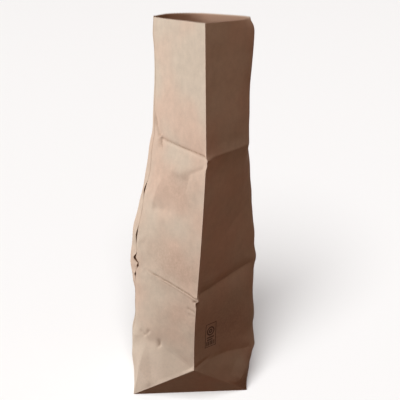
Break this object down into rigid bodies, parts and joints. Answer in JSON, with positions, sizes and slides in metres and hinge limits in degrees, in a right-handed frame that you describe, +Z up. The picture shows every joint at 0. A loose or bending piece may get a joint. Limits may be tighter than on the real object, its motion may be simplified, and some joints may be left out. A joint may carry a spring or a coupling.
{
  "type": "paper sack",
  "caption": "Tall empty brown paper sack standing open on its folded block bottom, with a sharp front crease, fold lines across it and a glued seam down its left side.",
  "frame": {"origin": "middle of the bounding box at the base, on the surface that the sack stands on", "axes": "+Z up the sack, front crease towards -Y, glued seam on the -X side"},
  "size_m": [0.2296, 0.2768, 0.6504],
  "materials": {
    "kraft_paper": "matt unbleached brown kraft paper, faintly streaked along the tube, with handling creases"
  },
  "bodies": {
    "root": {"sack": "kraft_paper"}
  },
  "joints": []
}
